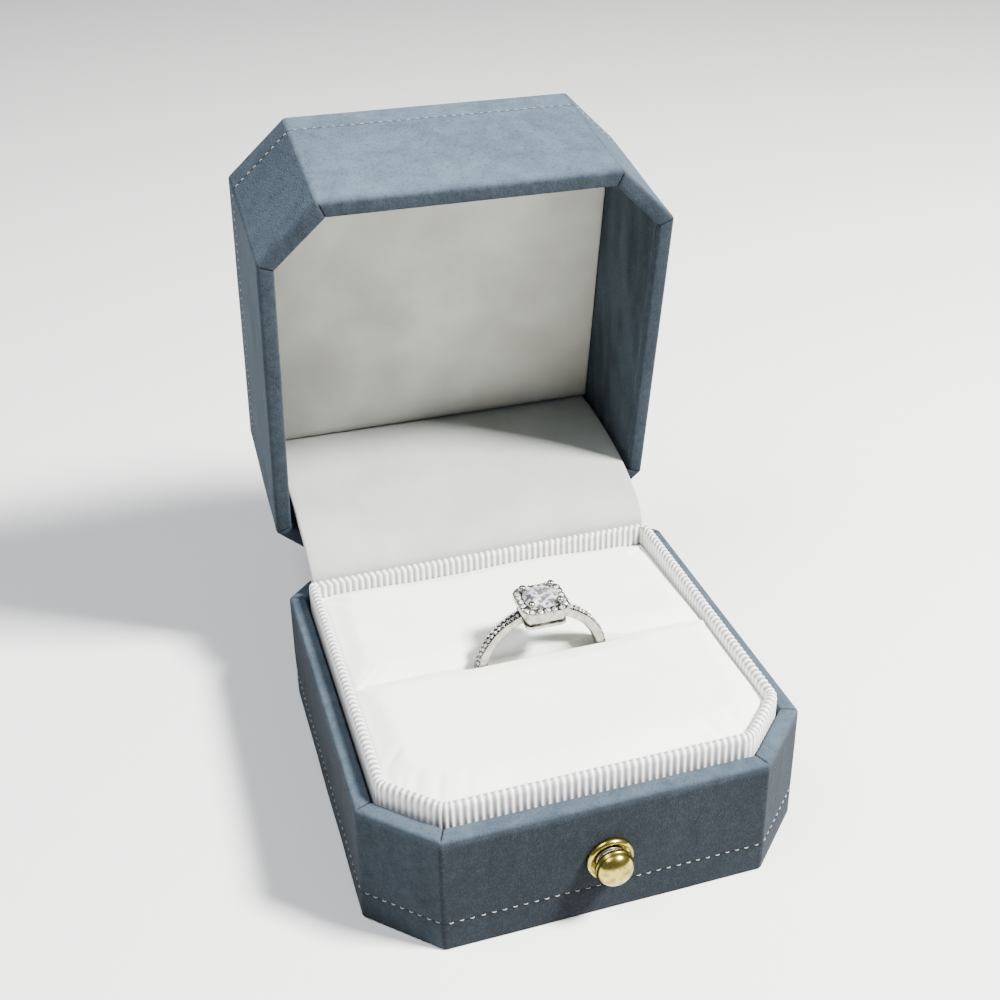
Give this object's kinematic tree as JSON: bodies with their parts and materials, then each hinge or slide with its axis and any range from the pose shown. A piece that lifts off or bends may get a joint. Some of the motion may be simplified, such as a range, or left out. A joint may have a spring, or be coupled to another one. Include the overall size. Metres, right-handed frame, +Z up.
{
  "type": "ring box",
  "caption": "Octagonal suede ring box with hinged lid, velvet slit cushion, ribbed liner and brass push button, holding a halo ring.",
  "frame": {"origin": "centre of the base's underside, which rests on the table", "axes": "+X to the right seen from the front, +Y to the back, +Z up"},
  "size_m": [0.0642, 0.1015, 0.0896],
  "materials": {
    "suede": "short brushed nap, matte",
    "suede_lining": "short brushed nap, matte",
    "white_velvet": "fine short pile, matte",
    "ribbon": "ribbed satin sheen",
    "thread": "twisted cotton",
    "foam": "open cell foam",
    "board": "grey board",
    "brass": "polished, slightly aged",
    "spring_steel": "bright spring steel",
    "silver": "polished, rhodium white",
    "gem": "faceted, clear"
  },
  "bodies": {
    "base": {"base_bottom_cover": "suede", "base_floor_board": "board", "base_wall_core": "board", "base_cover": "suede", "base_stitching": "thread", "button_bezel": "brass", "button_spring": "spring_steel", "liner_frame": "board", "liner_ribbon": "ribbon", "insert_platform": "board", "front_pad_foam": "foam", "rear_pad_foam": "foam", "front_pad_velvet": "white_velvet", "rear_pad_velvet": "white_velvet", "hinge_leaf_base": "spring_steel", "hinge_pins": "spring_steel", "hinge_rivets_base": "spring_steel", "hinge_spring": "spring_steel", "hinge_flap": "white_velvet"},
    "lid": {"lid_wall_core": "board", "lid_top_board": "board", "lid_top_cover": "suede", "lid_cover": "suede", "lid_lining": "suede_lining", "lid_stitching": "thread", "lid_panel_velvet": "white_velvet", "lid_panel_board": "board", "lid_panel_foam": "foam", "hinge_leaf_lid": "spring_steel", "hinge_rivets_lid": "spring_steel"},
    "button": {"button_dome": "brass", "button_clip": "spring_steel"},
    "ring": {"ring_shank": "silver", "ring_gallery": "silver", "ring_halo": "silver", "ring_prongs": "silver", "center_stone": "gem", "halo_stones": "gem", "shoulder_stones": "gem"}
  },
  "joints": [
    {"name": "lid_hinge", "type": "hinge", "parent": "base", "child": "lid", "pos_m": [0, 0.03365, 0.01705], "axis": [1, 0, 0], "range_deg": [0, 79], "deforming": ["hinge_flap", "hinge_spring"]},
    {"name": "button_press", "type": "slide", "parent": "base", "child": "button", "axis": [0, 1, 0], "range_m": [0, 0.0012], "stiffness_N_per_m": 400, "springref_m": -0.0015, "deforming": ["button_spring"]},
    {"name": "ring_lift", "type": "slide", "parent": "base", "child": "ring", "axis": [0, 0, 1], "range_m": [0, 0.009]}
  ]
}
